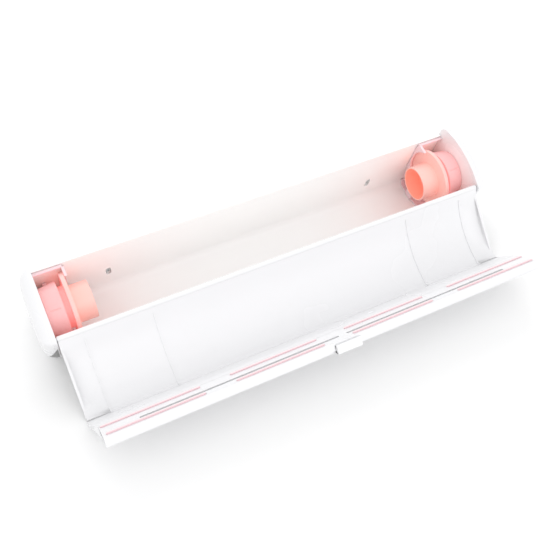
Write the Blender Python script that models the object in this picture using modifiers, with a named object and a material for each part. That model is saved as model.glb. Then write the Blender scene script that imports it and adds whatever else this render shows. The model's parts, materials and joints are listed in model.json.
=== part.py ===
# Cling film dispenser: a long trough with domed end walls, two roll holders in drop-in cradles,
# and a lid on a rear hinge whose sprung edge grips the film on both sides of two toothed blades.
# It is drawn closed, X along its length, Y from the hinge to the front and Z up from the mouth,
# and then the lid is swung open and the whole is stood on its round back and the lid's corner.
import math

import bpy
import bmesh
from mathutils import Matrix, Vector

# Trough, from the mouth of the cavity down
cavity_length = 0.3440
mouth_width = 0.0537
cavity_depth = 0.0600
floor_corner_radius = 0.0060
floor_flat = 0.0080
front_lean = 0.0018
shell_wall = 0.0024
rear_lip_drop = 0.0024
fit_gap = 0.0003

# Sloping sill on the front wall, which the lid's edge lands on
sill_slope = math.radians(71.0)
sill_gap = 0.0002
blade_groove_width = 0.0030
blade_groove_depth = 0.0020
wall_hole_radius = 0.0021
wall_hole_inset = 0.0556
wall_hole_depth = 0.0385

# Domed end caps
cap_thickness = 0.0108
cap_rim = 0.0008
cap_ear_radius = 0.0036
cap_front_rounding = 0.0080
cap_crown = 0.0062
cap_front_height = 0.0085
cap_depth_shares = (0.28, 0.51, 0.70, 0.85, 0.945, 1.0)
cap_outline_shares = (0.985, 0.935, 0.87, 0.78, 0.62, 0.38)

# Hinge
hinge_set_back = 0.0010
barrel_radius = 0.0019
barrel_end_gap = 0.0001
lid_root_forward = 0.0009
lid_root_drop = 0.0011
lip_rear_lean = 0.0014
lip_lean_height = 0.0040
barrel_bore_depth = 0.0080
pin_radius = 0.0010
pin_clearance = 0.0002
pin_in_cap = 0.0060
lid_open_angle = math.radians(200.0)

# Lid, closed
lid_wall = 0.0024
lid_front_gap = 0.0016
lid_headroom = 0.0105
lid_crown = 0.0075
lid_corner_radius = 0.0040
lid_end_gap = 0.0006
lid_front_drop = 0.0380
lid_front_splay = 0.0047
lid_flare_height = 0.0110
lid_end_slant = 0.0200
lid_fin_thickness = 0.0018
lid_rib_height = 0.0006
lid_rib_width = 0.0010
outer_rib_inset = 0.0178
inner_rib_inset = 0.0676

# Press edge of the lid: along its face from the free edge back, and down from its face
edge_width = 0.0205
edge_depth = 0.0075
edge_end_inset = 0.0050
channel_skin = 0.0016
channel_front_wall = 0.0015
bar_plate = 0.0018
bar_skirt = 0.0055
bar_skirt_wall = 0.0015
bar_rear_flange = 0.0032
bar_travel = 0.0020
slot_from_edge = 0.0090
slot_width = 0.0026
slot_end_inset = 0.0300
slot_bridge = 0.0059
bridge_offset = 0.0054
grip_proud = 0.0007
grip_seat = 0.0006
lower_grip_from_edge = 0.0041
lower_grip_width = 0.0028
upper_grip_from_edge = 0.0182
upper_grip_width = 0.0026
grip_end_inset = 0.0058
grip_gap = 0.0215
grip_middle_inset = 0.0110
outer_grip_share = 0.5116
lower_grip_shift = 0.0016

# Toothed blades, which stay still while the bar is pressed past them
blade_thickness = 0.0005
blade_below_face = 0.0010
blade_tooth_height = 0.0013
blade_tooth_pitch = 0.0030
blade_end_inset = 0.0050
blade_rib_wall = 0.0012
blade_seat_gap = 0.0002

# Bar springs
spring_radius = 0.0019
spring_wire = 0.0002
spring_turns = 3
spring_points_per_turn = 8
spring_from_middle = 0.0050
spring_from_edge = 0.0150

# Thumb tab
tab_offset = 0.0040
tab_width = 0.0190
tab_reach = 0.0030
tab_top = 0.0015
tab_bottom = 0.0080
tab_rounding = 0.0010

# Roll holders, from the end wall inwards
holder_height = 0.0198
flange_rear_clearance = 0.0050
flange_front_clearance = 0.00045
tube_radius = 0.0142
tube_wall = 0.0012
tube_mouth = 0.0342
flange_thickness = 0.0030
flange_outer_face = 0.0170
neck_radius = 0.0156
drum_end_gap = 0.0005
drum_end_radius = 0.0186
drum_inner_face = 0.0130
drum_inner_radius = 0.0203
drum_wall = 0.0018
web_thickness = 0.0018
holder_steps = 44
seam_width = 0.0010
seam_depth = 0.0006
seam_inset = 0.0025
seam_angle = math.radians(104.0)

# Cradles
saddle_inset = 0.0050
saddle_thickness = 0.0030
saddle_clearance = 0.0005
saddle_below_axis = 0.0010
bulkhead_gap = 0.0005
bulkhead_thickness = 0.0020
bulkhead_bite = 0.0008
bulkhead_width = 0.0050
bulkhead_bottom_angle = math.radians(-60.0)
bulkhead_leg = 0.0050
bulkhead_below_rim = 0.0003
ledge_thickness = 0.0015
ledge_below_rim = 0.0013
ledge_width = 0.0022
liner_thickness = 0.0015
liner_set_in = 0.0001

# Rounding steps and the overrun that every cutter has
arc_step = math.radians(9.0)
overrun = 0.0010
weld_distance = 0.000001
fine_sides = 24
hole_sides = 20
bore_sides = 16

# Places that follow from the sizes above
half_cavity = cavity_length / 2
hinge_y = -hinge_set_back
floor_level = -cavity_depth
rear_arc_radius = mouth_width + front_lean - floor_corner_radius - floor_flat
rear_arc_centre = (rear_arc_radius, floor_level + rear_arc_radius)


def front_wall_y(z):
    return mouth_width - front_lean * z / (cavity_depth - floor_corner_radius)


# The holder's flange fills the cavity from front to rear but for its two clearances
axis_z = -holder_height
flange_radius = (front_wall_y(axis_z) - flange_front_clearance - flange_rear_clearance) / 2
axis_y = flange_rear_clearance + flange_radius
drum_taper = (drum_inner_radius - drum_end_radius) / (drum_inner_face - drum_end_gap)
front_lean_angle = math.atan2(front_lean, cavity_depth - floor_corner_radius)
floor_corner = (rear_arc_radius + floor_flat, floor_level + floor_corner_radius)
lid_corner = (mouth_width + shell_wall + lid_front_gap, lid_headroom)
lid_half_length = half_cavity - lid_end_gap
edge_half_length = half_cavity - edge_end_inset


# Directions of the press edge when closed: back along its face, and away from the sill
edge_back = (-math.cos(sill_slope), math.sin(sill_slope))
edge_out = (math.sin(sill_slope), math.cos(sill_slope))
edge_top = (lid_corner[0] + lid_front_splay, lid_corner[1] - lid_front_drop)
edge_corner = (
    edge_top[0] - edge_back[0] * edge_width,
    edge_top[1] - edge_back[1] * edge_width,
)


def on_edge(back, out):
    return (
        edge_corner[0] + back * edge_back[0] + out * edge_out[0],
        edge_corner[1] + back * edge_back[1] + out * edge_out[1],
    )


def arc(centre, radius, start, end):
    steps = max(2, math.ceil(abs(end - start) / arc_step))
    angles = [start + (end - start) * i / steps for i in range(steps + 1)]
    return [(centre[0] + radius * math.cos(a), centre[1] + radius * math.sin(a)) for a in angles]


def rounded(corners):
    # Each corner is (y, z, radius); a corner with no radius stays sharp
    outline = []
    for i, (y, z, radius) in enumerate(corners):
        here = Vector((y, z))
        before = (Vector(corners[i - 1][:2]) - here).normalized()
        after = (Vector(corners[(i + 1) % len(corners)][:2]) - here).normalized()
        opening = before.angle(after)
        if radius <= 0 or opening > math.pi - arc_step:
            outline.append((y, z))
            continue
        reach = radius / math.tan(opening / 2)
        centre = here + (before + after).normalized() * radius / math.sin(opening / 2)
        first = here + before * reach - centre
        last = here + after * reach - centre
        turn = first.angle_signed(last)
        start = math.atan2(first.y, first.x)
        outline += arc(centre, radius, start, start - turn)
    return outline


def new_collection(name):
    collection = bpy.data.collections.new(name)
    bpy.context.scene.collection.children.link(collection)
    return collection


def clear_scene():
    for obj in list(bpy.data.objects):
        bpy.data.objects.remove(obj, do_unlink=True)


clear_scene()
parts = new_collection("cling_film_dispenser")
cutters = new_collection("cutters")


def make_material(name, colour, roughness, metallic):
    material = bpy.data.materials.new(name)
    material.use_nodes = True
    shader = material.node_tree.nodes["Principled BSDF"]
    shader.inputs["Base Color"].default_value = (*colour, 1.0)
    shader.inputs["Roughness"].default_value = roughness
    shader.inputs["Metallic"].default_value = metallic
    return material


white_plastic = make_material("white_plastic", (0.86, 0.86, 0.87), 0.35, 0.0)
pink_plastic = make_material("pink_plastic", (0.93, 0.42, 0.34), 0.40, 0.0)
pink_rubber = make_material("pink_rubber", (0.85, 0.36, 0.38), 0.60, 0.0)
steel = make_material("steel", (0.60, 0.61, 0.63), 0.30, 1.0)


def mesh_object(name, mesh, material, matrix=None):
    obj = bpy.data.objects.new(name, mesh)
    parts.objects.link(obj)
    if matrix is not None:
        obj.matrix_world = matrix
    if material:
        obj.data.materials.clear()
        obj.data.materials.append(material)
    return obj


def curve_to_mesh(curve_object, name, material):
    # The caps of a filled curve are loose, so they are welded to its sides
    bpy.context.view_layer.update()
    graph = bpy.context.evaluated_depsgraph_get()
    mesh = bpy.data.meshes.new_from_object(curve_object.evaluated_get(graph))
    mesh.name = name
    bm = bmesh.new()
    bm.from_mesh(mesh)
    bmesh.ops.remove_doubles(bm, verts=bm.verts, dist=weld_distance)
    bmesh.ops.recalc_face_normals(bm, faces=bm.faces)
    bm.to_mesh(mesh)
    bm.free()
    matrix = curve_object.matrix_world.copy()
    bpy.data.objects.remove(curve_object, do_unlink=True)
    return mesh_object(name, mesh, material, matrix)


def flat_curve(name, outlines, half_thickness):
    curve = bpy.data.curves.new(name, "CURVE")
    curve.dimensions = "2D"
    curve.fill_mode = "BOTH"
    curve.extrude = half_thickness
    for outline in outlines:
        spline = curve.splines.new("POLY")
        spline.points.add(len(outline) - 1)
        for point, (a, b) in zip(spline.points, outline):
            point.co = (a, b, 0.0, 1.0)
        spline.use_cyclic_u = True
    obj = bpy.data.objects.new(name, curve)
    parts.objects.link(obj)
    return obj


# A section drawn in Y and Z, with its thickness along X
section_turn = Matrix(((0, 0, 1, 0), (1, 0, 0, 0), (0, 1, 0, 0), (0, 0, 0, 1)))


def section(name, outline, x_from, x_to, material):
    obj = flat_curve(name, [outline], (x_to - x_from) / 2)
    obj.matrix_world = Matrix.Translation(((x_from + x_to) / 2, 0, 0)) @ section_turn
    return curve_to_mesh(obj, name, material)


def as_cutter(obj):
    obj.hide_render = True
    obj.display_type = "WIRE"
    parts.objects.unlink(obj)
    cutters.objects.link(obj)
    return obj


def boolean(obj, other, operation):
    modifier = obj.modifiers.new(operation.lower(), "BOOLEAN")
    modifier.operation = operation
    modifier.solver = "EXACT"
    modifier.object = as_cutter(other)
    other.parent = obj
    other.matrix_parent_inverse = obj.matrix_world.inverted()


def settle(obj):
    # Works the Booleans into the mesh, and the cutting bodies go
    bpy.context.view_layer.update()
    graph = bpy.context.evaluated_depsgraph_get()
    mesh = bpy.data.meshes.new_from_object(obj.evaluated_get(graph))
    spent = [m.object for m in obj.modifiers if m.type == "BOOLEAN"]
    obj.modifiers.clear()
    obj.data = mesh
    for cutter in spent:
        bpy.data.objects.remove(cutter, do_unlink=True)


def box(name, lower, upper, material=None):
    mesh = bpy.data.meshes.new(name)
    bm = bmesh.new()
    bmesh.ops.create_cube(bm, size=1.0)
    size = [b - a for a, b in zip(lower, upper)]
    middle = [(a + b) / 2 for a, b in zip(lower, upper)]
    bmesh.ops.scale(bm, vec=size, verts=bm.verts)
    bmesh.ops.translate(bm, vec=middle, verts=bm.verts)
    bm.to_mesh(mesh)
    bm.free()
    return mesh_object(name, mesh, material)


def rod(name, centre, axis, radius, length, sides, material=None):
    mesh = bpy.data.meshes.new(name)
    bm = bmesh.new()
    bmesh.ops.create_cone(
        bm, cap_ends=True, segments=sides, radius1=radius, radius2=radius, depth=length
    )
    bm.to_mesh(mesh)
    bm.free()
    turn = Vector((0, 0, 1)).rotation_difference(Vector(axis)).to_matrix().to_4x4()
    return mesh_object(name, mesh, material, Matrix.Translation(centre) @ turn)


# Trough and sill

def sill_depth():
    # The landing lies under the proud grips of the closed press edge
    return -grip_proud - sill_gap


def sill_points():
    landing = sill_depth()
    groove = slot_from_edge - blade_groove_width / 2
    return [
        on_edge(edge_width, landing),
        on_edge(groove + blade_groove_width, landing),
        on_edge(groove + blade_groove_width, landing - blade_groove_depth),
        on_edge(groove, landing - blade_groove_depth),
        on_edge(groove, landing),
        on_edge(0, landing),
    ]


def trough_outline():
    sill = sill_points()
    skirt_y = sill[-1][0]
    skirt_foot = floor_level - shell_wall
    groove_floor = sill_depth() - blade_groove_depth
    hollow_foot_z = on_edge(0, groove_floor - shell_wall)[1]
    hollow_top_z = on_edge(edge_width, groove_floor - 2 * shell_wall)[1]
    inner = [(0.0, -rear_lip_drop), (0.0, rear_arc_centre[1])]
    inner += arc(rear_arc_centre, rear_arc_radius, math.pi, 1.5 * math.pi)[1:]
    inner += arc(floor_corner, floor_corner_radius, 1.5 * math.pi, 2 * math.pi)
    inner.append((mouth_width, 0.0))
    outer_top = mouth_width + shell_wall
    outer_at_sill = front_wall_y(sill[0][1]) + shell_wall
    front = [(outer_top, 0.0), (outer_at_sill, sill[0][1] + shell_wall)]
    skirt = [(skirt_y, skirt_foot), (skirt_y - shell_wall, skirt_foot)]
    hollow = [
        (skirt_y - shell_wall, hollow_foot_z),
        (front_wall_y(hollow_top_z) + shell_wall, hollow_top_z),
    ]
    back = arc(floor_corner, floor_corner_radius + shell_wall, 2 * math.pi, 1.5 * math.pi)
    outer_radius = rear_arc_radius + shell_wall
    back += arc(rear_arc_centre, outer_radius, 1.5 * math.pi, math.pi)
    back.append((-shell_wall, -rear_lip_drop - lip_lean_height))
    back.append((lip_rear_lean - shell_wall, -rear_lip_drop))
    return inner + front + sill + skirt + hollow + back


def body_shell():
    half = half_cavity - fit_gap
    obj = section("body_shell", trough_outline(), -half, half, white_plastic)
    hole_y = front_wall_y(-wall_hole_depth)
    for side in (-1, 1):
        centre = (side * (half_cavity - wall_hole_inset), hole_y, -wall_hole_depth)
        reach = 2 * (shell_wall + overrun)
        hole = rod("wall_hole", centre, (0, 1, 0), wall_hole_radius, reach, hole_sides)
        boolean(obj, hole, "DIFFERENCE")
    settle(obj)
    return obj


# Lid section, closed

def crowned(start, end, crown):
    # Centre and radius of the arc that rises by its crown between two points
    chord = Vector(end) - Vector(start)
    half = chord.length / 2
    radius = (half * half + crown * crown) / (2 * crown)
    across = Vector((chord.y, -chord.x)).normalized()
    centre = (Vector(start) + Vector(end)) / 2 + across * (radius - crown)
    return centre, radius


def lid_arc():
    # The top wall's inner face, from just under the hinge axis to the front corner
    start = (hinge_y + lid_root_forward, -lid_root_drop)
    return crowned(start, lid_corner, lid_crown)


def angle_to(centre, point):
    return math.atan2(point[1] - centre[1], point[0] - centre[0])


def top_wall_arc(outwards, from_angle, to_angle):
    centre, radius = lid_arc()
    return arc(centre, radius + outwards, from_angle, to_angle)


def lid_front_direction():
    return (Vector(edge_top) - Vector(lid_corner)).normalized()


def lid_front_outwards():
    down = lid_front_direction()
    return Vector((-down.y, down.x))


def lid_corner_angle():
    # Where the top wall's arc gives way to the rounding of the front corner
    centre, radius = lid_arc()
    return angle_to(centre, lid_corner) + lid_corner_radius / radius


def lid_corner_centre():
    # The rounding starts at the top wall's inner face and ends in the front wall's inner face
    centre, radius = lid_arc()
    angle = lid_corner_angle()
    along = Vector((math.cos(angle), math.sin(angle)))
    middle = centre + along * (radius - lid_corner_radius)
    out = lid_front_outwards()
    return middle - out * ((middle - Vector(lid_corner)).dot(out) + lid_corner_radius)


def lid_corner_arc(outwards):
    # From the top wall to the front wall
    across = angle_to((0, 0), lid_front_outwards())
    return arc(lid_corner_centre(), lid_corner_radius + outwards, lid_corner_angle(), across)


def lid_outline():
    centre, radius = lid_arc()
    leave = angle_to(centre, (hinge_y, 0.0))
    down = lid_front_direction()
    out = lid_front_outwards()
    inner = top_wall_arc(0.0, leave, lid_corner_angle()) + lid_corner_arc(0.0)[1:]
    channel_floor = edge_depth - channel_skin
    rear = edge_width + fit_gap
    wall_top = bar_plate + bar_travel + fit_gap
    wall_from = bar_skirt_wall + fit_gap
    wall_to = wall_from + channel_front_wall
    rib_from = slot_from_edge - blade_thickness / 2 - blade_seat_gap - blade_rib_wall
    rib_to = slot_from_edge + blade_thickness / 2 + blade_seat_gap + blade_rib_wall
    slit = blade_thickness / 2 + blade_seat_gap
    channel = [
        on_edge(rear, 0.0),
        on_edge(rear, channel_floor),
        on_edge(rib_to, channel_floor),
        on_edge(rib_to, wall_top),
        on_edge(slot_from_edge + slit, wall_top),
        on_edge(slot_from_edge + slit, channel_floor),
        on_edge(slot_from_edge - slit, channel_floor),
        on_edge(slot_from_edge - slit, wall_top),
        on_edge(rib_from, wall_top),
        on_edge(rib_from, channel_floor),
        on_edge(wall_to, channel_floor),
        on_edge(wall_to, wall_top),
        on_edge(wall_from, wall_top),
        on_edge(wall_from, edge_depth),
    ]
    flare_foot = on_edge(edge_width, edge_depth)
    flare_top = Vector(edge_top) - down * lid_flare_height + out * lid_wall
    outer = [flare_foot, tuple(flare_top)]
    outer += lid_corner_arc(lid_wall)[::-1]
    outer += top_wall_arc(lid_wall, lid_corner_angle(), leave)[1:-1]
    outer.append((hinge_y, 0.0))
    return inner + channel + outer


def lid_inside_start():
    # Clear of the hinge barrel
    centre, radius = lid_arc()
    return angle_to(centre, (hinge_y, 0.0)) - 3 * barrel_radius / radius


def fin_outline():
    # Between the top wall and its straight chord
    return top_wall_arc(lid_wall / 2, lid_inside_start(), lid_corner_angle())


def rib_outline():
    # Along the top wall's inner face and round the front corner
    root, crest = [
        top_wall_arc(outwards, lid_inside_start(), lid_corner_angle()) + lid_corner_arc(outwards)[1:]
        for outwards in (lid_wall / 2, -lid_rib_height)
    ]
    return root + crest[::-1]


def end_trim(side):
    # The press edge stops short of the lid's ends, and the front wall slants in to meet it
    down = lid_front_direction()
    out = lid_front_outwards()
    half = lid_half_length + overrun
    outline = [
        (side * edge_half_length, -2 * edge_width),
        (side * edge_half_length, 0.0),
        (side * half, lid_end_slant),
        (side * (half + overrun), lid_end_slant),
        (side * (half + overrun), -2 * edge_width),
    ]
    obj = flat_curve("end_trim", [outline], 2 * edge_width)
    obj.matrix_world = Matrix(
        (
            (1, 0, 0, 0),
            (0, -down.x, out.x, edge_top[0]),
            (0, -down.y, out.y, edge_top[1]),
            (0, 0, 0, 1),
        )
    )
    return curve_to_mesh(obj, "end_trim", None)


def lid_shell():
    half = lid_half_length
    obj = section("lid_shell", lid_outline(), -half, half, white_plastic)
    barrel_length = 2 * (half - barrel_end_gap)
    barrel = rod("barrel", (0, hinge_y, 0), (1, 0, 0), barrel_radius, barrel_length, fine_sides)
    boolean(obj, barrel, "UNION")
    for side in (-1, 1):
        fin_at = sorted((side * half, side * (half - lid_fin_thickness)))
        boolean(obj, section("fin", fin_outline(), *fin_at, None), "UNION")
        for inset in (outer_rib_inset, inner_rib_inset):
            middle = side * (half_cavity - inset)
            rib_at = (middle - lid_rib_width / 2, middle + lid_rib_width / 2)
            boolean(obj, section("rib", rib_outline(), *rib_at, None), "UNION")
        bore_at = side * (half + overrun - (barrel_bore_depth + overrun) / 2)
        bore = rod(
            "pin_bore",
            (bore_at, hinge_y, 0.0),
            (1, 0, 0),
            pin_radius + pin_clearance,
            barrel_bore_depth + overrun,
            bore_sides,
        )
        boolean(obj, bore, "DIFFERENCE")
        boolean(obj, end_trim(side), "DIFFERENCE")
    settle(obj)
    return obj


# End caps

def cap_outline():
    front_y = mouth_width + shell_wall
    ear_top = (hinge_y, cap_ear_radius)
    centre, radius = crowned(ear_top, (front_y, cap_front_height), cap_crown)
    inside = radius - cap_front_rounding
    reach = math.acos((front_y - cap_front_rounding - centre.x) / inside)
    rounding_centre = (centre.x + inside * math.cos(reach), centre.y + inside * math.sin(reach))
    start = angle_to(centre, ear_top)
    outline = arc(centre, radius, start, reach)
    outline += arc(rounding_centre, cap_front_rounding, reach, -front_lean_angle)[1:]
    sill = sill_points()
    outer_at_sill = front_wall_y(sill[0][1]) + shell_wall
    skirt_foot = floor_level - shell_wall
    outline += [(outer_at_sill, sill[0][1] + shell_wall), sill[0], sill[-1]]
    outline.append((sill[-1][0], skirt_foot))
    outline += arc(rear_arc_centre, rear_arc_radius + shell_wall, 1.5 * math.pi, math.pi)
    outline += arc((hinge_y, 0.0), cap_ear_radius, math.pi + 2 * arc_step, start + arc_step)
    return outline


def dome(obj, side, outline):
    # The rim's outer face is drawn outwards ring by ring, each ring smaller than the last
    middle = [sum(point[i] for point in outline) / len(outline) for i in (0, 1)]
    to_middle = Matrix.Translation((-middle[0], -middle[1], 0))
    bm = bmesh.new()
    bm.from_mesh(obj.data)
    ring = [face for face in bm.faces if side * face.normal.z > math.cos(arc_step)]
    depth, size = cap_rim, 1.0
    for depth_share, outline_share in zip(cap_depth_shares, cap_outline_shares):
        grown = bmesh.ops.extrude_face_region(bm, geom=ring)["geom"]
        bmesh.ops.delete(bm, geom=ring, context="FACES")
        verts = [item for item in grown if isinstance(item, bmesh.types.BMVert)]
        ring = [item for item in grown if isinstance(item, bmesh.types.BMFace)]
        step = depth_share * cap_thickness - depth
        ratio = outline_share / size
        bmesh.ops.translate(bm, vec=(0, 0, side * step), verts=verts)
        bmesh.ops.scale(bm, vec=(ratio, ratio, 1), space=to_middle, verts=verts)
        depth, size = depth_share * cap_thickness, outline_share
    bmesh.ops.recalc_face_normals(bm, faces=bm.faces)
    bm.to_mesh(obj.data)
    bm.free()


def end_cap(name, side):
    outline = cap_outline()
    rim_at = sorted((side * half_cavity, side * (half_cavity + cap_rim)))
    obj = section(name, outline, *rim_at, white_plastic)
    dome(obj, side, outline)
    reach = pin_in_cap + overrun
    bore_at = side * (half_cavity - overrun + reach / 2)
    bore_radius = pin_radius + pin_clearance
    bore = rod("cap_bore", (bore_at, hinge_y, 0.0), (1, 0, 0), bore_radius, reach, bore_sides)
    boolean(obj, bore, "DIFFERENCE")
    settle(obj)
    return obj


def hinge_pin(name, side):
    in_cap = pin_in_cap - fit_gap
    in_barrel = barrel_bore_depth - fit_gap + lid_end_gap
    length = in_cap + in_barrel
    x = side * (half_cavity + in_cap - length / 2)
    return rod(name, (x, hinge_y, 0.0), (1, 0, 0), pin_radius, length, bore_sides, steel)


# Press bar with its grips, blades and springs

def bar_outline():
    rear = edge_width
    return [
        on_edge(0.0, 0.0),
        on_edge(rear, 0.0),
        on_edge(rear, bar_rear_flange),
        on_edge(rear - bar_skirt_wall, bar_rear_flange),
        on_edge(rear - bar_skirt_wall, bar_plate),
        on_edge(bar_skirt_wall, bar_plate),
        on_edge(bar_skirt_wall, bar_skirt),
        on_edge(0.0, bar_skirt),
    ]


def edge_frame(x, back, out):
    # Local X along the length, local Y back along the face, local Z towards the sill
    y, z = on_edge(back, out)
    return Matrix(
        (
            (1, 0, 0, x),
            (0, edge_back[0], -edge_out[0], y),
            (0, edge_back[1], -edge_out[1], z),
            (0, 0, 0, 1),
        )
    )


def stadium(length, width):
    flat = length / 2 - width / 2
    ends = arc((flat, 0.0), width / 2, -math.pi / 2, math.pi / 2)
    return ends + arc((-flat, 0.0), width / 2, math.pi / 2, 1.5 * math.pi)


def edge_strip(name, outline, x, back, out, thickness, material):
    # A flat piece that lies in the face of the press edge, its middle at the depth given
    obj = flat_curve(name, [outline], thickness / 2)
    obj.matrix_world = edge_frame(x, back, out)
    return curve_to_mesh(obj, name, material)


def grip_lengths():
    # Of the outer and the inner grip on each side of the middle
    together = half_cavity - grip_end_inset - grip_gap - grip_middle_inset
    return outer_grip_share * together, (1 - outer_grip_share) * together


def grip_rows():
    # Name, middle along the length, distance from the edge, length and width of each grip
    outer_length, inner_length = grip_lengths()
    rows = []
    for row, back, width, shift in (
        ("upper", upper_grip_from_edge, upper_grip_width, 0.0),
        ("lower", lower_grip_from_edge, lower_grip_width, lower_grip_shift),
    ):
        outer = half_cavity - grip_end_inset - (shift + outer_length) / 2
        inner = grip_middle_inset + inner_length / 2
        grips_in_row = (
            (-outer, outer_length - shift),
            (-inner, inner_length),
            (inner, inner_length),
            (outer, outer_length - shift),
        )
        for number, (place, length) in enumerate(grips_in_row, 1):
            rows.append((f"{row}_grip_{number}", place, back, length, width))
    return rows


def slot_span(side):
    # From the bridge, which sits a little to one side of the middle, to the slot's end
    return sorted((bridge_offset + side * slot_bridge / 2, side * (half_cavity - slot_end_inset)))


def press_bar():
    obj = section("press_bar", bar_outline(), -edge_half_length, edge_half_length, white_plastic)
    deep = bar_plate + 2 * overrun
    for side in (-1, 1):
        first, last = slot_span(side)
        outline = stadium(last - first, slot_width)
        middle = (first + last) / 2
        slot = edge_strip("slot", outline, middle, slot_from_edge, bar_plate / 2, deep, None)
        boolean(obj, slot, "DIFFERENCE")
    for name, place, back, length, width in grip_rows():
        seat = edge_strip(
            "seat",
            stadium(length + fit_gap, width + fit_gap),
            place,
            back,
            (grip_seat - overrun) / 2,
            grip_seat + overrun,
            None,
        )
        boolean(obj, seat, "DIFFERENCE")
    notch_outline = [
        on_edge(-overrun, bar_plate),
        on_edge(bar_skirt_wall + overrun / 2, bar_plate),
        on_edge(bar_skirt_wall + overrun / 2, bar_skirt + overrun),
        on_edge(-overrun, bar_skirt + overrun),
    ]
    half_notch = tab_width / 2 + fit_gap
    notch_at = (tab_offset - half_notch, tab_offset + half_notch)
    boolean(obj, section("tab_notch", notch_outline, *notch_at, None), "DIFFERENCE")
    settle(obj)
    return obj


def grips():
    made = []
    clearance = fit_gap / 2
    thickness = grip_seat - clearance + grip_proud
    out = (grip_seat - clearance - grip_proud) / 2
    for name, place, back, length, width in grip_rows():
        outline = stadium(length, width)
        made.append(edge_strip(name, outline, place, back, out, thickness, pink_rubber))
    return made


def blade_outline(length):
    # Teeth towards the sill, the plain edge in the channel's rib
    tip = -blade_below_face
    root = tip - blade_tooth_height
    foot = -(edge_depth - channel_skin - fit_gap)
    count = round(length / blade_tooth_pitch)
    pitch = length / count
    points = [(-length / 2, foot), (-length / 2, root)]
    for i in range(count):
        points.append((-length / 2 + pitch * (i + 0.5), tip))
        points.append((-length / 2 + pitch * (i + 1), root))
    points.append((length / 2, foot))
    return points[::-1]


def cutter_blade(name, side):
    first, last = slot_span(side)
    length = last - first - 2 * blade_end_inset
    obj = flat_curve(name, [blade_outline(length)], blade_thickness / 2)
    y, z = on_edge(slot_from_edge, 0.0)
    obj.matrix_world = Matrix(
        (
            (1, 0, 0, (first + last) / 2),
            (0, -edge_out[0], -edge_back[0], y),
            (0, -edge_out[1], -edge_back[1], z),
            (0, 0, 0, 1),
        )
    )
    return curve_to_mesh(obj, name, steel)


def bar_spring(name, x):
    length = edge_depth - channel_skin - bar_plate - 2 * (spring_wire + fit_gap)
    top = bar_plate + fit_gap + spring_wire
    curve = bpy.data.curves.new(name, "CURVE")
    curve.dimensions = "3D"
    curve.bevel_depth = spring_wire
    curve.bevel_resolution = 1
    curve.use_fill_caps = True
    spline = curve.splines.new("POLY")
    count = spring_turns * spring_points_per_turn + 1
    spline.points.add(count - 1)
    for i, point in enumerate(spline.points):
        turn = 2 * math.pi * i / spring_points_per_turn
        along = length * i / (count - 1)
        point.co = (spring_radius * math.cos(turn), spring_radius * math.sin(turn), -along, 1.0)
    obj = bpy.data.objects.new(name, curve)
    parts.objects.link(obj)
    obj.matrix_world = edge_frame(x, spring_from_edge, top)
    clear = length / spring_turns - 2 * spring_wire
    print(f"{name}: least gap between turns {clear * 1000:.2f} mm")
    return curve_to_mesh(obj, name, steel)


def thumb_tab():
    # A plate before the free edge, with a foot that passes under the pressed bar to the channel
    foot_top = bar_plate + bar_travel + fit_gap
    corners = [
        (*on_edge(bar_skirt_wall, foot_top), 0.0),
        (*on_edge(bar_skirt_wall, tab_bottom), 0.0),
        (*on_edge(-tab_reach, tab_bottom), tab_rounding),
        (*on_edge(-tab_reach, tab_top), tab_rounding),
        (*on_edge(-fit_gap, tab_top), 0.0),
        (*on_edge(-fit_gap, foot_top), 0.0),
    ]
    tab_at = (tab_offset - tab_width / 2, tab_offset + tab_width / 2)
    return section("thumb_tab", rounded(corners), *tab_at, white_plastic)


# Roll holders and cradles

def holder_profile():
    web_in = flange_outer_face + flange_thickness
    web_out = web_in - web_thickness
    bore = tube_radius - tube_wall
    hollow_end = drum_inner_face - drum_wall
    return [
        (0.0, web_in),
        (bore, web_in),
        (bore, tube_mouth),
        (tube_radius, tube_mouth),
        (tube_radius, web_in),
        (flange_radius, web_in),
        (flange_radius, flange_outer_face),
        (neck_radius, flange_outer_face),
        (neck_radius, drum_inner_face),
        (drum_inner_radius, drum_inner_face),
        (drum_end_radius, drum_end_gap),
        (drum_end_radius - drum_wall, drum_end_gap),
        (drum_inner_radius - drum_wall, hollow_end),
        (neck_radius - drum_wall, hollow_end),
        (neck_radius - drum_wall, web_out),
        (0.0, web_out),
    ]


def holder_frame(side):
    # Local X runs inwards from the end wall along the holder's axis
    return Matrix.Translation((side * half_cavity, axis_y, axis_z)) @ Matrix.Scale(-side, 4, (1, 0, 0))


def drum_seam(side):
    # A shallow groove along the drum, which follows its taper
    along = (drum_end_gap + drum_inner_face) / 2
    half = (drum_inner_face - drum_end_gap) / 2 - seam_inset
    seam = box("drum_seam", (-half, -seam_depth, -seam_width / 2), (half, overrun, seam_width / 2))
    middle_radius = (drum_end_radius + drum_inner_radius) / 2
    seam.matrix_world = (
        holder_frame(side)
        @ Matrix.Rotation(seam_angle - math.pi / 2, 4, "X")
        @ Matrix.Translation((along, middle_radius, 0))
        @ Matrix.Rotation(math.atan(drum_taper), 4, "Z")
    )
    return seam


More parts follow.
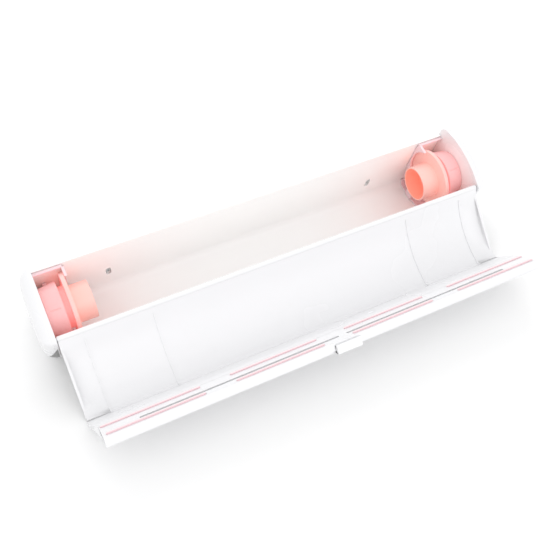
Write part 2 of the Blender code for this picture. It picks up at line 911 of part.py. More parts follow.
def roll_holder(name, side):
    mesh = bpy.data.meshes.new(name)
    points = [(r, 0.0, along) for r, along in holder_profile()]
    mesh.from_pydata(points, [(i, i + 1) for i in range(len(points) - 1)], [])
    # Local Z runs inwards from the end wall along the holder's axis
    turn = Matrix.Rotation(-side * math.pi / 2, 4, "Y")
    place = Matrix.Translation((side * half_cavity, axis_y, axis_z)) @ turn
    obj = mesh_object(name, mesh, pink_plastic, place)
    screw = obj.modifiers.new("screw", "SCREW")
    screw.axis = "Z"
    screw.steps = holder_steps
    screw.render_steps = holder_steps
    screw.use_merge_vertices = True
    screw.merge_threshold = weld_distance
    boolean(obj, drum_seam(side), "DIFFERENCE")
    settle(obj)
    return obj


def liner_outline(inwards):
    # Follows the cavity from the rear wall round the floor to the front wall, one gap inside it
    inwards += fit_gap
    path = arc(rear_arc_centre, rear_arc_radius - inwards, math.pi, 1.5 * math.pi)
    path += arc(floor_corner, floor_corner_radius - inwards, 1.5 * math.pi, 2 * math.pi)
    return path


def saddle_outline():
    outer = liner_outline(0.0)
    top = axis_z - saddle_below_axis
    front = front_wall_y(top) - fit_gap
    across = saddle_inset + saddle_thickness - drum_end_gap
    radius = drum_end_radius + drum_taper * across + saddle_clearance
    dip = math.asin(saddle_below_axis / radius)
    notch = arc((axis_y, axis_z), radius, 2 * math.pi - dip, math.pi + dip)
    reach = math.sqrt((rear_arc_radius - fit_gap) ** 2 - (top - rear_arc_centre[1]) ** 2)
    below = [p for p in outer if p[1] < top - fit_gap]
    return below + [(front, top)] + notch + [(rear_arc_centre[0] - reach, top)]


def bulkhead_outline():
    # A band round the flange's upper edge, held to the front wall, with a leg to the floor
    inner = flange_radius - bulkhead_bite
    outer = inner + bulkhead_width
    rise = -bulkhead_below_rim - axis_z
    bottom = bulkhead_bottom_angle
    band = arc((axis_y, axis_z), inner, math.asin(rise / inner), bottom)
    back = arc((axis_y, axis_z), outer, bottom, math.asin(rise / outer))
    back = [(min(y, front_wall_y(z) - fit_gap), z) for y, z in back]
    foot = band[-1][0] - bulkhead_leg
    knee_z = band[-1][1] + fit_gap
    leg_front = back[0][0]
    reach = floor_level + fit_gap
    leg_z = reach + liner_thickness / 2
    leg = [(foot, knee_z), (foot, leg_z), (leg_front, leg_z)]
    return band[:-1] + leg + back


def cradle(name, side):
    def span(inner, outer):
        return sorted((side * (half_cavity - inner), side * (half_cavity - outer)))

    bulkhead_at = flange_outer_face + flange_thickness + bulkhead_gap
    bulkhead_end = bulkhead_at + bulkhead_thickness
    saddle_at = span(saddle_inset, saddle_inset + saddle_thickness)
    obj = section(name, saddle_outline(), *saddle_at, white_plastic)
    bulkhead = section("bulkhead", bulkhead_outline(), *span(bulkhead_at, bulkhead_end), None)
    boolean(obj, bulkhead, "UNION")
    liner = liner_outline(liner_set_in) + liner_outline(liner_thickness)[::-1]
    liner_at = span(saddle_inset + saddle_thickness / 2, bulkhead_at + bulkhead_thickness / 2)
    boolean(obj, section("liner", liner, *liner_at, None), "UNION")
    top = -ledge_below_rim
    front = front_wall_y(top) - fit_gap - liner_set_in
    ledge = [
        (front - ledge_width, top),
        (front - ledge_width, top - ledge_thickness),
        (front, top - ledge_thickness),
        (front, top),
    ]
    ledge_at = span(fit_gap, bulkhead_at + bulkhead_thickness / 2)
    boolean(obj, section("ledge", ledge, *ledge_at, None), "UNION")
    settle(obj)
    return obj


# Standing the assembly up

def carrier(name, place, parent=None):
    empty = bpy.data.objects.new(name, None)
    parts.objects.link(empty)
    empty.location = place
    if parent:
        empty.parent = parent
        empty.matrix_parent_inverse = Matrix.Identity(4)
    return empty


def carry(objects, parent, home):
    bpy.context.view_layer.update()
    for obj in objects:
        place = obj.matrix_world.copy()
        obj.parent = parent
        obj.matrix_parent_inverse = Matrix.Translation(-Vector(home))
        obj.matrix_basis = place


def opened(point):
    # Where a point of the closed lid goes when it is swung open
    turn = Matrix.Rotation(lid_open_angle, 2)
    moved = turn @ (Vector(point) - Vector((hinge_y, 0.0))) + Vector((hinge_y, 0.0))
    return moved


def resting_tilt():
    # The table touches the round back of the trough and the rounded corner of the open lid
    lid = opened(lid_corner_centre())
    across = rear_arc_centre[0] - lid.x
    above = rear_arc_centre[1] - lid.y
    need = (rear_arc_radius + shell_wall) - (lid_corner_radius + lid_wall)
    return math.asin(need / math.hypot(across, above)) - math.atan2(above, across)


def world_bounds(objects):
    bpy.context.view_layer.update()
    graph = bpy.context.evaluated_depsgraph_get()
    points = []
    for obj in objects:
        mesh = obj.evaluated_get(graph).to_mesh()
        points += [obj.matrix_world @ vert.co for vert in mesh.vertices]
        obj.evaluated_get(graph).to_mesh_clear()
    lower = [min(p[i] for p in points) for i in range(3)]
    upper = [max(p[i] for p in points) for i in range(3)]
    return lower, upper


def shade(obj):
    obj.data.shade_smooth()
    obj.data.set_sharp_from_angle(angle=math.radians(32.0))


def main():
    case = [body_shell()]
    holders = {}
    for side, word in ((-1, "left"), (1, "right")):
        case.append(end_cap(f"end_cap_{word}", side))
        case.append(cradle(f"cradle_{word}", side))
        case.append(hinge_pin(f"hinge_pin_{word}", side))
        holders[word] = roll_holder(f"roll_holder_{word}", side)
    lid = [lid_shell(), thumb_tab()]
    springs = []
    for side, word in ((-1, "left"), (1, "right")):
        lid.append(cutter_blade(f"cutter_blade_{word}", side))
        outer = half_cavity - grip_end_inset - grip_lengths()[0] - grip_gap / 2
        springs.append(bar_spring(f"bar_spring_{word}_1", side * outer))
        springs.append(bar_spring(f"bar_spring_{word}_2", side * spring_from_middle))
    bar = [press_bar()] + grips()
    everything = case + list(holders.values()) + lid + springs + bar

    stand = carrier("stand", (0, 0, 0))
    pivot_home = Vector((0.0, hinge_y, 0.0))
    pivot = carrier("lid_pivot", pivot_home, stand)
    bar_home = Vector((0.0, *on_edge(edge_width / 2, 0.0)))
    bar_carrier = carrier("press_bar_slide", bar_home - pivot_home, pivot)
    carry(case, stand, (0, 0, 0))
    carry(lid + springs, pivot, pivot_home)
    carry(bar, bar_carrier, bar_home)
    for word, holder in holders.items():
        home = holder.matrix_world.translation.copy()
        carry([holder], carrier(f"holder_axis_{word}", home, stand), home)
    pivot.rotation_euler.x = lid_open_angle
    stand.rotation_euler.x = resting_tilt()
    for obj in everything:
        shade(obj)
    lower, upper = world_bounds(everything)
    stand.location = [-(a + b) / 2 for a, b in zip(lower, upper)]
    stand.location.z = -lower[2]


main()
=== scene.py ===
# Cling film dispenser with its lid swung open, standing on a pale studio floor
import json
import math

import bpy
import bmesh
from mathutils import Matrix, Quaternion, Vector
from mathutils.bvhtree import BVHTree


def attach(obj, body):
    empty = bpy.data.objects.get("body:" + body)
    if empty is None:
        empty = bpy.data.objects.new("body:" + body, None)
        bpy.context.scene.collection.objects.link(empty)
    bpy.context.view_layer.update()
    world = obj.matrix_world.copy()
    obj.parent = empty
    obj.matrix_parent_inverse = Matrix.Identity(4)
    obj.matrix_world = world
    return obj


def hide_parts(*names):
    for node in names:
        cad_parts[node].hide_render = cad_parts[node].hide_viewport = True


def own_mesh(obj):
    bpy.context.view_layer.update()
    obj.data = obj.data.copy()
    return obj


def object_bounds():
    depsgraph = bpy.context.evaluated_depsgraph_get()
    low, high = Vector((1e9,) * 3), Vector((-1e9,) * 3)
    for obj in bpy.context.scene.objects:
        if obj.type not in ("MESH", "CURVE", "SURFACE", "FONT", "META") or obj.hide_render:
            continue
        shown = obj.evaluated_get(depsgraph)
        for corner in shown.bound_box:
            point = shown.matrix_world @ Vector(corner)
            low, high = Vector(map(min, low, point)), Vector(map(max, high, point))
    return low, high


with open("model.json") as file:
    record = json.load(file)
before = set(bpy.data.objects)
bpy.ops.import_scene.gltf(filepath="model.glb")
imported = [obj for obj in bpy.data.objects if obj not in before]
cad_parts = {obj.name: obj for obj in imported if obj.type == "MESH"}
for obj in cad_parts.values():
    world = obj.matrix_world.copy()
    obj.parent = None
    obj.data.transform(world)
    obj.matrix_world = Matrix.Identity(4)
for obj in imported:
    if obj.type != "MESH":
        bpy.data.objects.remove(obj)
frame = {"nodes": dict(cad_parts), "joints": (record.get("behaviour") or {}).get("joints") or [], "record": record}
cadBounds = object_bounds()
nodes = frame["nodes"]
joints = {joint["name"]: joint for joint in frame["joints"]}
bodies = frame["record"]["behaviour"]["bodies"]
bodyOf = {node: body for body, names in bodies.items() for node in names}
print("frame loaded:", len(nodes), "nodes")


def placeInScene(name, data):
    obj = bpy.data.objects.new(name, data)
    bpy.context.scene.collection.objects.link(obj)
    return obj


def placeMesh(name, bm):
    mesh = bpy.data.meshes.new(name)
    bm.to_mesh(mesh)
    bm.free()
    return placeInScene(name, mesh)


# Camera, floor and light

camera = {
    "place": (-0.1828, -0.37381, 0.43947),
    "view": (0.29989, 0.64698, -0.70106),
    "roll": -2.358,
    "focal": 50.96,
    "sensor": 36.0,
    "clipStart": 0.01,
}

studio = {
    "floorSize": 14.0,
    "floorDrop": 0.0004,
    "floorColour": (0.90, 0.90, 0.90),
    "worldColour": (1.0, 1.0, 1.0),
    "worldStrength": 1.02,
    "seenStrength": 1.0,
    "aim": (0, 0, 0.03),
    "lights": {
        "keyLight": {"place": (-0.55, -0.35, 1.25), "size": 1.1, "power": 1.0},
        "fillLight": {"place": (0.15, -1.45, 0.85), "size": 1.6, "power": 6.0},
        "backLight": {"place": (0.25, 1.25, 0.95), "size": 1.3, "power": 5.0},
    },
}


def makeCamera():
    data = bpy.data.cameras.new("photoCamera")
    data.lens = camera["focal"]
    data.sensor_width = camera["sensor"]
    data.clip_start = camera["clipStart"]
    obj = placeInScene("photoCamera", data)
    obj.location = camera["place"]
    look = Vector(camera["view"]).to_track_quat("-Z", "Y")
    roll = Quaternion((0, 0, 1), math.radians(camera["roll"]))
    obj.rotation_euler = (look @ roll).to_euler()
    bpy.context.scene.camera = obj


def softLight(name, values):
    data = bpy.data.lights.new(name, "AREA")
    data.shape = "SQUARE"
    data.size = values["size"]
    data.energy = values["power"]
    obj = placeInScene(name, data)
    obj.location = values["place"]
    towards = Vector(studio["aim"]) - obj.location
    obj.rotation_euler = towards.to_track_quat("-Z", "Y").to_euler()


def worldGlow(tree, strength):
    glow = tree.nodes.new("ShaderNodeBackground")
    glow.inputs["Color"].default_value = (*studio["worldColour"], 1)
    glow.inputs["Strength"].default_value = strength
    return glow.outputs[0]


def makeStudio():
    # The world that lights the object may differ in strength from the one that the camera sees
    world = bpy.data.worlds.new("studioWorld")
    bpy.context.scene.world = world
    world.use_nodes = True
    tree = world.node_tree
    tree.nodes.clear()
    out = tree.nodes.new("ShaderNodeOutputWorld")
    path = tree.nodes.new("ShaderNodeLightPath")
    mix = tree.nodes.new("ShaderNodeMixShader")
    tree.links.new(path.outputs["Is Camera Ray"], mix.inputs["Fac"])
    tree.links.new(worldGlow(tree, studio["worldStrength"]), mix.inputs[1])
    tree.links.new(worldGlow(tree, studio["seenStrength"]), mix.inputs[2])
    tree.links.new(mix.outputs[0], out.inputs["Surface"])
    for name, values in studio["lights"].items():
        softLight(name, values)
    print("studio made")


def floorMaterial():
    # Plain and pale, so that it keeps the soft shadow that falls on it
    material = bpy.data.materials.new("paleFloor")
    material.use_nodes = True
    tree = material.node_tree
    tree.nodes.clear()
    out = tree.nodes.new("ShaderNodeOutputMaterial")
    diffuse = tree.nodes.new("ShaderNodeBsdfDiffuse")
    diffuse.inputs["Color"].default_value = (*studio["floorColour"], 1)
    tree.links.new(diffuse.outputs[0], out.inputs["Surface"])
    return material


def makeFloor():
    bm = bmesh.new()
    bmesh.ops.create_grid(bm, x_segments=1, y_segments=1, size=studio["floorSize"] / 2)
    height = cadBounds[0][2] - studio["floorDrop"]
    bmesh.ops.translate(bm, vec=(0, 0, height), verts=bm.verts)
    obj = placeMesh("studioFloor", bm)
    obj.data.materials.append(floorMaterial())


# Small helpers for shader nodes: a value is a plain one or another node's output

def feed(tree, socket, value):
    if isinstance(value, bpy.types.NodeSocket):
        tree.links.new(value, socket)
    else:
        socket.default_value = value


def addNode(tree, kind, operation=None, **values):
    node = tree.nodes.new(kind)
    if operation:
        node.operation = operation
    for name, value in values.items():
        feed(tree, node.inputs[name], value)
    return node


def mathValue(tree, operation, *values):
    node = addNode(tree, "ShaderNodeMath", operation)
    for socket, value in zip(node.inputs, values):
        feed(tree, socket, value)
    return node.outputs[0]


def mapRange(tree, value, low, high):
    node = addNode(tree, "ShaderNodeMapRange", Value=value)
    feed(tree, node.inputs["From Min"], low)
    feed(tree, node.inputs["From Max"], high)
    return node.outputs["Result"]


def mixColours(tree, factor, first, second):
    node = tree.nodes.new("ShaderNodeMix")
    node.data_type = "RGBA"
    feed(tree, node.inputs["Factor"], factor)
    feed(tree, node.inputs["A"], first)
    feed(tree, node.inputs["B"], second)
    return node.outputs["Result"]


def newGroup(name, inputs, outputs):
    # A single number makes a value socket, three a vector and four a colour
    group = bpy.data.node_groups.new(name, "ShaderNodeTree")
    for socketName, value in inputs.items():
        size = len(value) if isinstance(value, tuple) else 1
        kind = {1: "NodeSocketFloat", 3: "NodeSocketVector", 4: "NodeSocketColor"}[size]
        socket = group.interface.new_socket(socketName, in_out="INPUT", socket_type=kind)
        socket.default_value = value
    for socketName, kind in outputs.items():
        group.interface.new_socket(socketName, in_out="OUTPUT", socket_type=kind)
    start = group.nodes.new("NodeGroupInput")
    end = group.nodes.new("NodeGroupOutput")
    return group, start.outputs, end.inputs


# Finishes

white = (1, 1, 1, 1)

surfaceDetail = {
    "driftScale": 14.0,
    "driftDetail": 3.0,
    "grainDetail": 4.0,
    "grainRoughness": 0.6,
    "noiseMiddle": 0.5,
}


def mouldedSurfaceGroup():
    # Slow colour drift, a faint moulded texture and a little polish wear, from object coordinates
    inputs = {
        "Colour": white,
        "Shade": white,
        "Roughness": 0.3,
        "Variation": 0.05,
        "Grain Scale": 900.0,
    }
    outputs = {
        "Base Color": "NodeSocketColor",
        "Roughness": "NodeSocketFloat",
        "Height": "NodeSocketFloat",
    }
    group, start, end = newGroup("mouldedSurface", inputs, outputs)
    values = surfaceDetail
    place = group.nodes.new("ShaderNodeTexCoord").outputs["Object"]
    drift = addNode(
        group, "ShaderNodeTexNoise",
        Vector=place, Scale=values["driftScale"], Detail=values["driftDetail"],
    ).outputs["Fac"]
    grain = addNode(
        group, "ShaderNodeTexNoise",
        Vector=place, Scale=start["Grain Scale"], Detail=values["grainDetail"],
        Roughness=values["grainRoughness"],
    ).outputs["Fac"]
    feed(group, end["Base Color"], mixColours(group, drift, start["Colour"], start["Shade"]))
    centred = mathValue(group, "SUBTRACT", drift, values["noiseMiddle"])
    polish = mathValue(group, "MULTIPLY_ADD", centred, start["Variation"], start["Roughness"])
    feed(group, end["Roughness"], polish)
    feed(group, end["Height"], grain)
    return group


def holderPaintedLightGroup():
    # Painted light: the tube is coloured a warmer pink than the drum, and its bore a deep orange, for the light
    # that shines through the thin tube
    inputs = {
        "Drum": white,
        "Tube": white,
        "Bore": white,
        "Axis Y": 0.0,
        "Axis Z": 0.0,
        "Change From": 0.15,
        "Change To": 0.16,
        "Bore Radius": 0.01,
    }
    group, start, end = newGroup("holderPaintedLight", inputs, {"Base Color": "NodeSocketColor"})
    place = group.nodes.new("ShaderNodeTexCoord").outputs["Object"]
    parts = addNode(group, "ShaderNodeSeparateXYZ", Vector=place).outputs
    along = mathValue(group, "ABSOLUTE", parts["X"])
    change = mapRange(group, along, start["Change From"], start["Change To"])
    paintedLight = mixColours(group, change, start["Tube"], start["Drum"])
    across = addNode(
        group, "ShaderNodeCombineXYZ",
        Y=mathValue(group, "SUBTRACT", parts["Y"], start["Axis Y"]),
        Z=mathValue(group, "SUBTRACT", parts["Z"], start["Axis Z"]),
    ).outputs[0]
    distance = addNode(group, "ShaderNodeVectorMath", "LENGTH", Vector=across).outputs["Value"]
    inBore = mathValue(group, "LESS_THAN", distance, start["Bore Radius"])
    inTube = mathValue(group, "LESS_THAN", along, start["Change To"])
    both = mathValue(group, "MULTIPLY", inBore, inTube)
    feed(group, end["Base Color"], mixColours(group, both, paintedLight, start["Bore"]))
    return group


def gripPaintedShadeGroup():
    # Painted shade: a grip's side towards the free edge is coloured darker than its crest, for the shade along its
    # lower side
    inputs = {
        "Crest": white,
        "Foot": white,
        "Corner": (0, 0, 0),
        "Back": (0, 1, 0),
        "Foot From": 0.0,
        "Foot To": 0.001,
    }
    group, start, end = newGroup("gripPaintedShade", inputs, {"Base Color": "NodeSocketColor"})
    place = group.nodes.new("ShaderNodeTexCoord").outputs["Object"]
    offset = addNode(group, "ShaderNodeVectorMath", "SUBTRACT")
    feed(group, offset.inputs[0], place)
    feed(group, offset.inputs[1], start["Corner"])
    back = addNode(group, "ShaderNodeVectorMath", "DOT_PRODUCT")
    feed(group, back.inputs[0], offset.outputs[0])
    feed(group, back.inputs[1], start["Back"])
    crest = mapRange(group, back.outputs["Value"], start["Foot From"], start["Foot To"])
    feed(group, end["Base Color"], mixColours(group, crest, start["Foot"], start["Crest"]))
    return group


paintedLightGroups = {"holder": holderPaintedLightGroup(), "grip": gripPaintedShadeGroup()}
mouldedSurface = mouldedSurfaceGroup()

# Painted light and shade: the holder colours stand in for light through the thin tube, and the grip foot colour
# for shade along each grip
paintedLightColours = {
    "holder": {
        "Drum": (0.95, 0.53, 0.53, 1),
        "Tube": (0.96, 0.575, 0.52, 1),
        "Bore": (0.97, 0.46, 0.36, 1),
        "Axis Y": 0.0374526,
        "Axis Z": 0.0386872,
        "Change From": 0.1525,
        "Change To": 0.1560,
        "Bore Radius": 0.0133,
    },
    "grip": {
        "Crest": (0.94, 0.73, 0.74, 1),
        "Foot": (0.80, 0.57, 0.61, 1),
        "Corner": (0.0, -0.081756, 0.039153),
        "Back": (0.0, 0.85104, -0.52510),
    },
}

plainFinish = {
    "roughness": 0.30,
    "variation": 0.10,
    "grain": 1400.0,
    "bump": 0.02,
    "bumpDistance": 0.0002,
    "coat": 0.0,
    "metallic": 0.0,
}

finishes = {
    # Painted light: the trough is the same white plastic as the lid, coloured brighter for the light inside its
    # cavity
    "troughPaintedBrightPlastic": {
        "colour": (0.965, 0.960, 0.954),
        "shade": (0.950, 0.945, 0.939),
        "coat": 0.10,
    },
    "whitePlastic": {
        "colour": (0.830, 0.829, 0.842),
        "shade": (0.808, 0.808, 0.822),
        "roughness": 0.26,
        "coat": 0.15,
    },
    # Painted light: the white cradles are coloured pink for the light that the pink holders throw on them
    "cradlePaintedPinkLight": {
        "colour": (0.90, 0.69, 0.72),
        "shade": (0.88, 0.67, 0.70),
        "roughness": 0.32,
        "coat": 0.05,
    },
    # Painted shade: a dark grey for a sheet and a web that stand where shade falls
    "paintedShade": {
        "colour": (0.30, 0.30, 0.30),
        "shade": (0.27, 0.27, 0.27),
        "roughness": 0.60,
        "variation": 0.05,
    },
    "pinkPlastic": {
        "paintedLight": "holder",
        "roughness": 0.34,
        "variation": 0.12,
        "grain": 1100.0,
        "bump": 0.03,
        "glow": 0.30,
        "glowColour": (1.0, 0.42, 0.34),
    },
    "upperGripRubber": {
        "paintedLight": "grip",
        "roughness": 0.55,
        "grain": 2200.0,
        "bump": 0.10,
        "footFrom": 0.0174,
        "footTo": 0.0183,
    },
    "lowerGripRubber": {
        "paintedLight": "grip",
        "roughness": 0.55,
        "grain": 2200.0,
        "bump": 0.10,
        "footFrom": 0.0036,
        "footTo": 0.0046,
    },
    "bladeSteel": {
        "colour": (0.55, 0.56, 0.58),
        "shade": (0.47, 0.48, 0.50),
        "roughness": 0.28,
        "variation": 0.20,
        "grain": 3000.0,
        "bump": 0.05,
        "metallic": 1.0,
    },
}


# Feeds a finish with its painted light or painted shade colours
def addPaintedLight(tree, surface, values):
    paintedLight = tree.nodes.new("ShaderNodeGroup")
    paintedLight.node_tree = paintedLightGroups[values["paintedLight"]]
    for socket, value in paintedLightColours[values["paintedLight"]].items():
        paintedLight.inputs[socket].default_value = value
    if "footFrom" in values:
        paintedLight.inputs["Foot From"].default_value = values["footFrom"]
        paintedLight.inputs["Foot To"].default_value = values["footTo"]
    for socket in ("Colour", "Shade"):
        tree.links.new(paintedLight.outputs["Base Color"], surface.inputs[socket])


def addPaintedGlow(tree, shader, values):
    # Painted light: the pink plastic glows for every ray but the camera's, so that it throws its own colour on
    # what stands near it
    seen = tree.nodes.new("ShaderNodeLightPath").outputs["Is Camera Ray"]
    unseen = mathValue(tree, "MULTIPLY_ADD", seen, -values["glow"], values["glow"])
    tree.links.new(unseen, shader.inputs["Emission Strength"])
    shader.inputs["Emission Color"].default_value = (*values["glowColour"], 1)


def makeFinish(name):
    values = {**plainFinish, **finishes[name]}
    material = bpy.data.materials.new(name)
    material.use_nodes = True
    tree = material.node_tree
    shader = tree.nodes["Principled BSDF"]
    surface = tree.nodes.new("ShaderNodeGroup")
    surface.node_tree = mouldedSurface
    surface.inputs["Roughness"].default_value = values["roughness"]
    surface.inputs["Variation"].default_value = values["variation"]
    surface.inputs["Grain Scale"].default_value = values["grain"]
    if "paintedLight" in values:
        addPaintedLight(tree, surface, values)
    else:
        surface.inputs["Colour"].default_value = (*values["colour"], 1)
        surface.inputs["Shade"].default_value = (*values["shade"], 1)
    bump = addNode(
        tree, "ShaderNodeBump",
        Strength=values["bump"], Distance=values["bumpDistance"], Height=surface.outputs["Height"],
    )
    tree.links.new(surface.outputs["Base Color"], shader.inputs["Base Color"])
    tree.links.new(surface.outputs["Roughness"], shader.inputs["Roughness"])
    tree.links.new(bump.outputs["Normal"], shader.inputs["Normal"])
    shader.inputs["Metallic"].default_value = values["metallic"]
    shader.inputs["Coat Weight"].default_value = values["coat"]
    if "glow" in values:
        addPaintedGlow(tree, shader, values)
    return material


finishOf = {name: makeFinish(name) for name in finishes}
print("finishes made")


# Pieces that start from a CAD node

meshCare = {
    "weld": 0.000004,
    "planeAngle": 0.4,
    "sliver": 0.000002,
    "sharpAngle": 32,
    "smoothAngle": 40,
    "bevelSegments": 2,
    "bevelProfile": 0.5,
}


def copyOfNode(name, node):
    mesh = nodes[node].data.copy()
    mesh.name = name
    return placeInScene(name, mesh)


def weldedMesh(obj):
    bm = bmesh.new()
    bm.from_mesh(obj.data)
    flat = math.radians(meshCare["planeAngle"])
    bmesh.ops.remove_doubles(bm, verts=bm.verts, dist=meshCare["weld"])
    bmesh.ops.dissolve_limit(bm, angle_limit=flat, verts=bm.verts, edges=bm.edges)
    bmesh.ops.dissolve_degenerate(bm, dist=meshCare["weld"], edges=bm.edges)
    return bm


def softenEdges(bm, sharpAngle, width):
    limit = math.radians(sharpAngle)
    sharp = [e for e in bm.edges if e.is_manifold and e.calc_face_angle(0) > limit]
    if sharp and width > 0:
        bmesh.ops.bevel(
            bm,
            geom=sharp,
            offset=width,
            offset_type="OFFSET",
            affect="EDGES",
            segments=meshCare["bevelSegments"],
            profile=meshCare["bevelProfile"],
            material=-1,
            clamp_overlap=True,
        )


def finishPiece(obj, bm, finish, node, smoothAngle=meshCare["smoothAngle"]):
    bm.to_mesh(obj.data)
    bm.free()
    obj.data.materials.clear()
    obj.data.materials.append(finishOf[finish])
    obj.data.shade_smooth()
    obj.data.set_sharp_from_angle(angle=math.radians(smoothAngle))
    weights = obj.modifiers.new("faceWeights", "WEIGHTED_NORMAL")
    weights.keep_sharp = True
    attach(obj, bodyOf[node])
    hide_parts(node)
    return obj


dressedNodes = {
    "trough": {
        "node": "body_shell",
        "finish": "troughPaintedBrightPlastic",
        "slot": "white_plastic",
        "edge": 0.0,
        "hangs": True,
    },
    "leftCradle": {
        "node": "cradle_left",
        "finish": "cradlePaintedPinkLight",
        "slot": "white_plastic",
        "edge": 0.0002,
    },
    "rightCradle": {
        "node": "cradle_right",
        "finish": "cradlePaintedPinkLight",
        "slot": "white_plastic",
        "edge": 0.0002,
    },
    "lid": {
        "node": "lid_shell",
        "finish": "whitePlastic",
        "slot": "white_plastic",
        "edge": 0.0,
    },
    "pressBar": {
        "node": "press_bar",
        "finish": "whitePlastic",
        "slot": "white_plastic",
        "edge": 0.0,
    },
    "thumbTab": {
        "node": "thumb_tab",
        "finish": "whitePlastic",
        "slot": "white_plastic",
        "edge": 0.0003,
    },
}
for side in ("left", "right"):
    dressedNodes[f"{side}RollHolder"] = {
        "node": f"roll_holder_{side}",
        "finish": "pinkPlastic",
        "slot": "pink_plastic",
        "edge": 0.0003,
        "turn": 101.25,
        "joint": f"{side}_holder_spin",
    }
for row in ("upper", "lower"):
    for number in range(1, 5):
        dressedNodes[f"{row}Grip{number}"] = {
            "node": f"{row}_grip_{number}",
            "finish": f"{row}GripRubber",
            "slot": "pink_rubber",
            "edge": 0.0002,
        }
for side in ("left", "right"):
    dressedNodes[f"{side}Blade"] = {
        "node": f"cutter_blade_{side}",
        "finish": "bladeSteel",
        "slot": "steel",
        "edge": 0.0,
    }
    dressedNodes[f"{side}HingePin"] = {
        "node": f"hinge_pin_{side}",
        "finish": "bladeSteel",
        "slot": "steel",
        "edge": 0.0001,
    }
    for number in (1, 2):
        dressedNodes[f"{side}BarSpring{number}"] = {
            "node": f"bar_spring_{side}_{number}",
            "finish": "bladeSteel",
            "slot": "steel",
            "edge": 0.0,
            "pressedBy": "press_bar_slide",
        }


hangingSlots = {
    "holePlace": (0.1164, 0.067731, 0.029489),
    "holeRadius": 0.0021,
    "nearRadius": 0.00005,
    "through": (0, 0.943656, 0.330928),
    "up": (0, -0.36218, 0.93210),
    "halfStretch": 0.0028,
    "leftShift": (-0.0011, 0.0007),
    "rightShift": (-0.0046, -0.0004),
}


def stretchHangingHoles(bm):
    # The round holes of the front wall become upright slots
    values = hangingSlots
    through, up = Vector(values["through"]), Vector(values["up"])
    near = values["nearRadius"]
    count = 0
    for side, shift in ((-1, values["leftShift"]), (1, values["rightShift"])):
        middle = Vector(values["holePlace"])
        middle.x *= side
        for vert in bm.verts:
            offset = vert.co - middle
            offset -= offset.dot(through) * through
            if abs(offset.length - values["holeRadius"]) > near:
                continue
            height = offset.dot(up)
            stretch = 0.0 if abs(height) < near else math.copysign(values["halfStretch"], height)
            vert.co += Vector((shift[0], 0, 0)) + (shift[1] + stretch) * up
            count += 1
    print("hanging slot corners:", count)


def squashSpring(obj):
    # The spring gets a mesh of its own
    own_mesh(obj)


def dressNode(name, values):
    obj = copyOfNode(name, values["node"])
    bm = weldedMesh(obj)
    if "turn" in values:  # a roll holder rests with its seam towards the front
        turn = Matrix.Rotation(math.radians(values["turn"]), 3, "X")
        centre = Vector(joints[values["joint"]]["pos_m"])
        bmesh.ops.rotate(bm, cent=centre, matrix=turn, verts=bm.verts)
    if "hangs" in values:
        stretchHangingHoles(bm)
    softenEdges(bm, meshCare["sharpAngle"], values["edge"])
    bmesh.ops.remove_doubles(bm, verts=bm.verts, dist=meshCare["sliver"])
    bmesh.ops.dissolve_degenerate(bm, dist=meshCare["sliver"], edges=bm.edges)
    finishPiece(obj, bm, values["finish"], values["node"])
    if "pressedBy" in values:
        squashSpring(obj)


for name, values in dressedNodes.items():
    dressNode(name, values)
print("pieces dressed:", len(dressedNodes))


# End caps, with a finer dome

capDome = {
    "wallPlace": 0.1720,
    "rim": 0.0008,
    "rimSlack": 0.00001,
    "depth": 0.0108,
    "depthShares": (0.074, 0.28, 0.51, 0.70, 0.85, 0.945, 1.0),
    "outlineShares": (1.0, 0.985, 0.935, 0.87, 0.78, 0.62, 0.38),
    "ringsPerShare": 4,
    "boreReach": 0.0013,
    "weld": 0.00012,
    "edge": 0.0003,
    "sharpAngle": 55,
    "smoothAngle": 30,
}


def smoothShares(shares, steps):
    # A curve through the shares, with as many steps between two of them as asked
    padded = (shares[0],) + tuple(shares) + (shares[-1],)
    values = []
    for i in range(1, len(padded) - 2):
        before, first, last, after = padded[i - 1:i + 3]
        slopeFirst = (last - before) / 2
        slopeLast = (after - first) / 2
        for step in range(steps):
            t = step / steps
            values.append(
                (2 * t ** 3 - 3 * t ** 2 + 1) * first + (t ** 3 - 2 * t ** 2 + t) * slopeFirst
                + (3 * t ** 2 - 2 * t ** 3) * last + (t ** 3 - t ** 2) * slopeLast
            )
    return values + [shares[-1]]


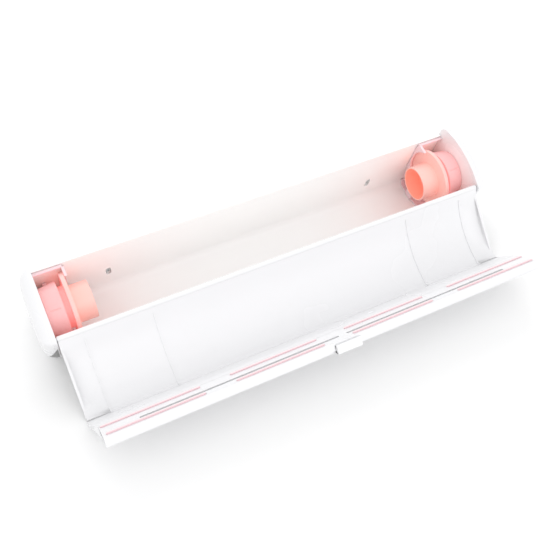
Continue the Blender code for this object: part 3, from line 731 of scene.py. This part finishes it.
def makeEndCap(name, node):
    values = capDome
    obj = copyOfNode(name, node)
    bm = weldedMesh(obj)
    side = 1 if sum(v.co.x for v in bm.verts) > 0 else -1
    hinge = Vector(joints["lid_hinge"]["pos_m"])
    domeStart = values["wallPlace"] + values["rim"] + values["rimSlack"]
    domed = [
        v for v in bm.verts
        if abs(v.co.x) > domeStart
        and (v.co - Vector((v.co.x, hinge.y, hinge.z))).length > values["boreReach"]
    ]
    bmesh.ops.delete(bm, geom=domed, context="VERTS")
    bmesh.ops.remove_doubles(bm, verts=bm.verts, dist=values["weld"])
    loop = [e for e in bm.edges if e.is_boundary]
    rim = dict.fromkeys(v for e in loop for v in e.verts)  # in the mesh's own order
    middle = sum((v.co for v in rim), Vector()) / len(rim)
    depths = smoothShares(values["depthShares"], values["ringsPerShare"])
    outlines = smoothShares(values["outlineShares"], values["ringsPerShare"])
    for i in range(1, len(depths)):
        grown = bmesh.ops.extrude_edge_only(bm, edges=loop)["geom"]
        ring = {item for item in grown if isinstance(item, bmesh.types.BMVert)}
        loop = [e for e in bm.edges if e.verts[0] in ring and e.verts[1] in ring]
        ratio = outlines[i] / outlines[i - 1]
        for vert in ring:
            vert.co.x = side * (values["wallPlace"] + depths[i] * values["depth"])
            vert.co.y = middle.y + ratio * (vert.co.y - middle.y)
            vert.co.z = middle.z + ratio * (vert.co.z - middle.z)
    bmesh.ops.contextual_create(bm, geom=loop)
    bmesh.ops.recalc_face_normals(bm, faces=bm.faces)
    softenEdges(bm, values["sharpAngle"], values["edge"])
    smooth = values["smoothAngle"]
    return finishPiece(obj, bm, "whitePlastic", node, smoothAngle=smooth)


endCaps = {
    "left": makeEndCap("leftEndCap", "end_cap_left"),
    "right": makeEndCap("rightEndCap", "end_cap_right"),
}
print("end caps made")


# Painted shade: a dark sheet on the rear of each end cap, under the hinge

capPaintedShade = {
    "top": (0.1729, 0.0372),
    "foot": (0.1729, 0.0190),
    "outer": (0.1795, 0.0205),
    "steps": 10,
    "behind": -0.06,
    "proud": 0.00008,
    "thickness": 0.00015,
}


def makeCapPaintedShade(name, cap, side, node):
    # A three-cornered dark sheet laid on the cap from behind, as painted shade
    values = capPaintedShade
    tree = BVHTree.FromObject(cap, bpy.context.evaluated_depsgraph_get())
    bm = bmesh.new()
    top, foot, outer = [Vector(values[key]) for key in ("top", "foot", "outer")]
    forward = Vector((0, 1, 0))
    steps = values["steps"]
    rows = []
    for i in range(steps + 1):
        row = []
        for j in range(i + 1):
            down = i / steps
            along = j / i if i else 0.0
            flat = top * (1 - down) + (foot * (1 - along) + outer * along) * down
            start = Vector((side * flat.x, values["behind"], flat.y))
            hit = tree.ray_cast(start, forward)[0]
            row.append(bm.verts.new(hit - values["proud"] * forward))
        rows.append(row)
    for i in range(steps):
        upper, lower = rows[i], rows[i + 1]
        for j in range(i + 1):
            bmesh.ops.contextual_create(bm, geom=[upper[j], lower[j], lower[j + 1]])
            if j < i:
                bmesh.ops.contextual_create(bm, geom=[upper[j], lower[j + 1], upper[j + 1]])
    bmesh.ops.recalc_face_normals(bm, faces=bm.faces)
    obj = placeMesh(name, bm)
    obj.data.materials.append(finishOf["paintedShade"])
    sheet = obj.modifiers.new("sheet", "SOLIDIFY")
    sheet.thickness = values["thickness"]
    sheet.offset = 0
    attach(obj, bodyOf[node])


bpy.context.view_layer.update()
makeCapPaintedShade("leftCapPaintedShade", endCaps["left"], -1, "end_cap_left")
makeCapPaintedShade("rightCapPaintedShade", endCaps["right"], 1, "end_cap_right")
print("cap painted shade sheets made")


# Web under the thumb tab; the web is a real shape, its dark grey colour is painted shade

tabWeb = {
    "corners": ((-0.0829, 0.0349), (-0.0880, 0.0336), (-0.0812, 0.0300)),
    "place": -0.0055,
    "thickness": 0.0015,
    "edge": 0.0002,
}


def makeTabWeb():
    values = tabWeb
    bm = bmesh.new()
    verts = [bm.verts.new((values["place"], y, z)) for y, z in values["corners"]]
    side = bmesh.ops.contextual_create(bm, geom=verts)["faces"]
    grown = bmesh.ops.extrude_face_region(bm, geom=side)["geom"]
    moved = [item for item in grown if isinstance(item, bmesh.types.BMVert)]
    bmesh.ops.translate(bm, verts=moved, vec=(values["thickness"], 0, 0))
    bmesh.ops.recalc_face_normals(bm, faces=bm.faces)
    bmesh.ops.bevel(
        bm,
        geom=bm.edges[:],
        offset=values["edge"],
        affect="EDGES",
        segments=meshCare["bevelSegments"],
        profile=meshCare["bevelProfile"],
        material=-1,
    )
    obj = placeMesh("thumbTabWeb", bm)
    obj.data.materials.append(finishOf["paintedShade"])
    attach(obj, bodyOf["thumb_tab"])


makeTabWeb()
print("tab web made")

makeCamera()
makeStudio()
makeFloor()
bpy.context.scene.view_settings.view_transform = "Standard"
